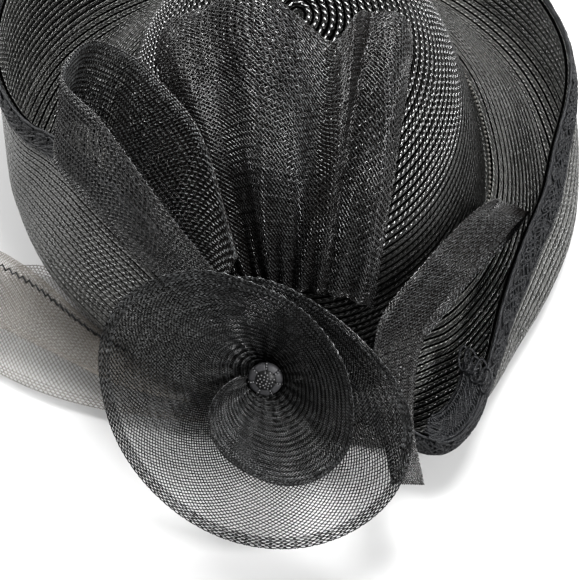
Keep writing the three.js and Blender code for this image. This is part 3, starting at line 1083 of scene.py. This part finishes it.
# Each net's third colour is its painted glint
CRINOLINE = make_crinoline(
    "crinoline_net", (0.003, 0.003, 0.0034), (0.013, 0.0105, 0.009), (0.17, 0.175, 0.178), 0.55
)
# The rosette's net is a darker copy of the same thread, as painted shade, with a stronger painted glint
ROSETTE_CRINOLINE = make_crinoline(
    "crinoline_rosette", (0.002, 0.002, 0.0023), (0.008, 0.0075, 0.007), (0.27, 0.278, 0.283), 0.2
)
# The thin net's threads are pale partly for their own warm grey and partly as painted light, standing in
# for light through the net
THIN_CRINOLINE = make_crinoline(
    "crinoline_thin", (0.09, 0.084, 0.076), (0.3, 0.275, 0.245), (0.34, 0.315, 0.285), 0.55
)
GIMP = make_gimp()
BUTTON = make_button()
# Grey beads: painted glints of black glass beads
GLINT_GREY_BEADS = make_beads("grey_beads_painted_glint", (0.1, 0.1, 0.1), (0.3, 0.3, 0.31), (0.1, 0.2))
BLACK_BEADS = make_beads("black_beads", (0.002, 0.002, 0.002), (0.012, 0.012, 0.013), (0.2, 0.35))
# The seam thread is pale as painted glints of the stitches
STITCHES = make_beads("seam_thread_painted_glint", (0.03, 0.03, 0.027), (0.16, 0.155, 0.14), (0.25, 0.4))


# Gimp

def on_cuff(turn, below, off):
    """Points outside the cuff, by distances below the rim and off the straw's middle, and the way out."""
    controls = brim_controls(turn)
    rim = controls[:, -1]
    down = unit(controls[:, -2] - rim)
    out = np.stack([-down[:, 1], down[:, 0]], -1)
    below, off = (np.broadcast_to(distance, turn.shape)[:, None] for distance in (below, off))
    section = rim + down * below + out * off
    points = round_line(turn, section)
    return points, unit(round_line(turn, section + out) - points)


def on_ledge(turn, inward, off):
    """Points on the prow's band, by distances in from its edge and up from the rim, and the way up."""
    rim = brim_controls(turn)[:, -1]
    section = rim + np.stack([PROW_OUT - inward, off - PROW_FALL * inward], -1)
    points = round_line(turn, section)
    return points, unit(round_line(turn, section + (PROW_FALL, 1)) - points)


def add_gimp():
    """Cords that wind across the band, a little unevenly, between cords along its edges."""
    turn = brim_turns(GIMP_TURN_STEPS)
    turn = np.append(turn, turn[0] + math.tau)
    rim, _ = on_cuff(turn, 0, 0)
    away = distances(rim)
    repeats = round(away[-1] / GIMP_REPEAT)
    places = np.linspace(0, 1, repeats * GIMP_REPEAT_POINTS, endpoint=False)
    stray = sum(np.sin(places * math.tau * wave + k) for k, wave in enumerate(GIMP_STRAY_WAVES))
    half = GIMP_WIDTH / 2
    parts = []
    for shift, lift, reach in GIMP_CORDS:
        phase = math.tau * (places * repeats + shift) + GIMP_STRAY * stray
        sway = np.sin(2 * phase + shift) * GIMP_REPEAT * GIMP_SWAY
        at = np.interp((places * away[-1] + sway) % away[-1], away, turn)
        below = half - GIMP_OVERHANG + np.sin(phase) * (half - GIMP_INSET) * reach
        line = on_cuff(at, below, GIMP_CORD_OFFSET + lift)
        parts.append(cord(line, GIMP_CORD_RADIUS, GIMP_CORD_SIDES, closed=True))
    at = np.interp(places * away[-1], away, turn)
    for below in (-GIMP_OVERHANG, GIMP_WIDTH - GIMP_OVERHANG):
        line = on_cuff(at, below + GIMP_EDGE_STRAY * stray, GIMP_EDGE_OFFSET)
        parts.append(cord(line, GIMP_EDGE_RADIUS, GIMP_CORD_SIDES, closed=True))
    vertices, faces = merged(parts + prow_band() + prow_loops())
    piece = add_piece("gimp_scrolls", vertices, faces, GIMP)
    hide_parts("edge_braid")


def prow_band():
    """The gimp where it lies flat over the prow: straight cords, winding cords above them and edges."""
    share = np.linspace(0, 1, PROW_STEPS)
    turn = np.radians(np.interp(share, (0, 1), PROW_TURNS))
    width = PROW_REACH * np.interp(share, (0, PROW_TAPER, 1), (PROW_START_WIDTH, 1, 1))
    radius = PROW_REACH / PROW_CORDS * PROW_CORD_FULLNESS
    parts = []
    for across in (np.arange(PROW_CORDS) + 0.5) / PROW_CORDS:
        line = on_ledge(turn[::PROW_CORD_SKIP], across * width[::PROW_CORD_SKIP], PROW_CORD_RISE)
        parts.append(cord(line, radius, PROW_CORD_SIDES))
    for shift, rise in PROW_WINDINGS:
        phase = math.tau * (PROW_REPEATS * share + shift)
        inward = width * (0.5 + PROW_SWING * np.sin(phase))
        line = on_ledge(turn + PROW_SWAY_RADIANS * np.sin(2 * phase), inward, rise)
        parts.append(cord(line, GIMP_CORD_RADIUS, GIMP_CORD_SIDES))
    for across in (0.0, 1.0):
        line = on_ledge(turn, across * width, PROW_EDGE_RISE)
        parts.append(cord(line, GIMP_EDGE_RADIUS, PROW_CORD_SIDES))
    return parts


def prow_loops():
    """Loops of cord side by side across the end of the band over the prow."""
    around = np.linspace(0, math.tau, PROW_LOOP_POINTS, endpoint=False)
    parts = []
    for loop in range(PROW_LOOPS):
        along = PROW_LOOP_HALF_LENGTH * np.cos(around) + loop % 2
        turn = math.radians(PROW_TURNS[1]) + along / PROW_RIM_RADIUS
        inward = PROW_REACH * loop / (PROW_LOOPS - 1) + PROW_LOOP_HALF_WIDTH * np.sin(around)
        rise = PROW_LOOP_RISE + PROW_LOOP_WAVE * np.sin(2 * around)
        parts.append(cord(on_ledge(turn, inward, rise), GIMP_EDGE_RADIUS, PROW_CORD_SIDES, closed=True))
    return parts


def add_gimp_ground():
    """The flat strip that the cords lie on."""
    turn = brim_turns(GIMP_GROUND_STEPS)
    half = GIMP_GROUND_THICKNESS / 2
    belows = (-GIMP_OVERHANG, GIMP_WIDTH / 2, GIMP_WIDTH - GIMP_OVERHANG)
    corners = [(below, -half) for below in belows] + [(below, half) for below in belows[::-1]]
    grid = np.stack([on_cuff(turn, below, GIMP_GROUND_OFFSET + off)[0] for below, off in corners], 1)
    quads, _, _ = ring_faces(len(turn), len(corners), True)
    piece = add_piece("gimp_ground", grid.reshape(-1, 3), [quads], GIMP)
    join_doubles(piece, distance=0.001)


# Button

def add_button():
    """The button's cover, with a groove along each spoke."""
    turn = np.arange(BUTTON_SIDES) / BUTTON_SIDES * math.tau
    radius, height = BUTTON_PROFILE["radius"], BUTTON_PROFILE["height"]
    groove = np.abs(np.cos((turn - math.radians(SPOKE_TURN)) * SPOKES / 2)) ** SPOKE_SHARPNESS
    grooved = (radius > SPOKE_INSIDE) & (height > SPOKE_FOOT)
    sink = groove[:, None] * np.where(grooved, SPOKE_DEPTH, 0)
    grid = round_rosette(radius - sink * SPOKE_PINCH, turn[:, None], height - sink + BUTTON_BASE)
    quads, _, _ = ring_faces(BUTTON_SIDES, len(radius), False)
    piece = add_piece("button_cover", grid.reshape(-1, 3), [quads], BUTTON)
    join_doubles(piece)
    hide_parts("button")


def button_height(radius):
    """The height of the button's top at distances from its middle."""
    top = slice(BUTTON_EDGE_ROW, None)
    return np.interp(-radius, -BUTTON_PROFILE["radius"][top], BUTTON_PROFILE["height"][top])


def on_spokes(spots):
    """The same distances from the button's middle on each of its spokes, and the spokes' turns."""
    turns = math.radians(SPOKE_TURN) + np.arange(SPOKES) / SPOKES * math.tau
    return np.tile(spots, SPOKES), np.repeat(turns, len(spots))


def add_beads(name, radius, turn, material):
    """Seed beads on the button's top, by their distance from its middle and their turn about it."""
    centres = round_rosette(radius, turn, button_height(radius) + BUTTON_BASE)
    vertices, faces = beads(centres, BEAD_RADIUS)
    add_piece(name, vertices, faces, material)


def add_button_beads():
    """Black and grey beads by turns along the spokes, and grey ones in a spiral on the middle. The grey
    beads are painted glints, standing in for the bright dots on black glass beads.
    """
    add_beads("spoke_beads", *on_spokes(SPOKE_BLACK_SPOTS), BLACK_BEADS)
    spots, turns = on_spokes(SPOKE_GREY_SPOTS)
    count = np.arange(MIDDLE_BEADS)
    golden_turn = math.pi * (3 - math.sqrt(5))
    spots = np.append(spots, MIDDLE_REACH * np.sqrt((count + 0.5) / MIDDLE_BEADS))
    add_beads("button_beads", spots, np.append(turns, count * golden_turn), GLINT_GREY_BEADS)


# Sewing

def add_seam_stitches():
    """Round stitches along the seam of crown and brim, painted pale as their glints."""
    turn = np.linspace(0, math.tau, SEAM_STEPS)
    line = level_ring(turn, seam_radius(turn) + STITCH_RADIUS, SEAM_HEIGHT + SEAM_GAP + STITCH_LIFT)
    away = distances(line)
    count = round(away[-1] / STITCH_SPACING)
    centres = at_distances(line, away, np.arange(count) / count * away[-1])
    vertices, faces = beads(centres, STITCH_RADIUS)
    add_piece("seam_stitches", vertices, faces, STITCHES)


def add_zigzag():
    """A zigzag of thread along the inner part of the side loop's upper layer."""
    surface = loop_surface(SIDE_LOOP)
    u = np.linspace(*ZIGZAG_SPAN, ZIGZAG_STEPS)
    away = distances(surface(u, np.full_like(u, ZIGZAG_ACROSS)))
    at = np.interp(np.arange(0, away[-1], ZIGZAG_REPEAT / 2), away, u)
    low, high = surface(at, np.zeros_like(at)), surface(at, np.ones_like(at))
    width = np.linalg.norm(high - low, axis=1)
    side = np.where(np.arange(len(at)) % 2, 0.5, -0.5) * ZIGZAG_WIDTH
    points = surface(at, ZIGZAG_ACROSS + side / width) + (0, 0, ZIGZAG_LIFT)
    up = np.broadcast_to((0.0, 0.0, 1.0), points.shape)
    vertices, faces = cord((points, up), ZIGZAG_RADIUS, ZIGZAG_SIDES)
    add_piece("zigzag_thread", vertices, faces, GIMP)


# Stage

def add_floor():
    floor = add_object("floor", bpy.data.meshes.new("floor"))
    corners = [(x * FLOOR_HALF, y * FLOOR_HALF, 0) for x, y in ((-1, -1), (1, -1), (1, 1), (-1, 1))]
    floor.data.from_pydata(corners, [], [(0, 1, 2, 3)])
    nodes = Nodes("pale_floor")
    shade = nodes.blend(nodes.noise(scale=4.0), (0.56, 0.56, 0.56), (0.6, 0.6, 0.6))
    floor.data.materials.append(nodes.finish(Base_Color=shade, Roughness=0.9))


def add_sky():
    """White light that is strongest overhead and fades towards the horizon."""
    nodes = Nodes("studio", "worlds", "Background")
    direction = nodes.add("SeparateXYZ", Vector=nodes.add("TexCoord").outputs["Generated"])
    fade = nodes.between(direction.outputs["Z"], HORIZON_STRENGTH, CEILING_STRENGTH)
    bpy.context.scene.world = nodes.finish(Color=(1, 1, 1, 1), Strength=fade)


def facing(target, place):
    """The rotation of a light or a camera that faces a target from its place."""
    return (Vector(target) - Vector(place)).to_track_quat("-Z", "Y").to_euler()


def add_light(name, place, size, power):
    """A soft box that shines at the hat."""
    light = add_object(name, bpy.data.lights.new(name, "AREA"))
    light.data.shape = "RECTANGLE"
    light.data.size, light.data.size_y = size
    light.data.energy = power
    light.location = place
    light.rotation_euler = facing(LIGHT_TARGET, place)


def add_camera():
    """A camera where the photo's seems to have stood."""
    camera = add_object("camera", bpy.data.cameras.new("camera"))
    rise = math.radians(VIEW_ELEVATION)
    place = Vector(VIEW_TARGET) + VIEW_DISTANCE * Vector((0, -math.cos(rise), math.sin(rise)))
    camera.location = place * METRES + Vector(HAT_SHIFT)
    camera.rotation_euler = facing(VIEW_TARGET, place)
    camera.data.lens = VIEW_LENS
    camera.data.sensor_width = VIEW_SENSOR
    bpy.context.scene.camera = camera
    bpy.context.scene.view_settings.view_transform = "Standard"
    bpy.context.scene.view_settings.look = "Medium High Contrast"


add_camera()
add_floor()
add_sky()
for light in LIGHTS:
    add_light(*light)
add_crown()
add_crown_plaits()
add_brim()
add_gimp()
add_gimp_ground()
add_button()
add_button_beads()
add_seam_stitches()
add_zigzag()

# Each net's name, surface, node that it stands for, weave, hemmed edges and material
NETS = (
    ("fan_net", fan_surface, "crown_fan", COARSE_WEAVE, ("low", "high"), CRINOLINE),
    ("left_loop_net", loop_surface(LEFT_LOOP), "left_loop", COARSE_WEAVE, ("low", "high"), CRINOLINE),
    ("right_loop_net", loop_surface(RIGHT_LOOP), "right_loop", COARSE_WEAVE, ("low", "high"), CRINOLINE),
    ("side_loop_net", loop_surface(SIDE_LOOP), "side_loop", SIDE_WEAVE, ("low", "high"), THIN_CRINOLINE),
    ("rosette_net", rosette_surface, "rosette", FINE_WEAVE, ("high",), ROSETTE_CRINOLINE),
)
for name, surface, node, weave, hems, material in NETS:
    net, flat = add_net(name, surface, node, weave, hems, material)
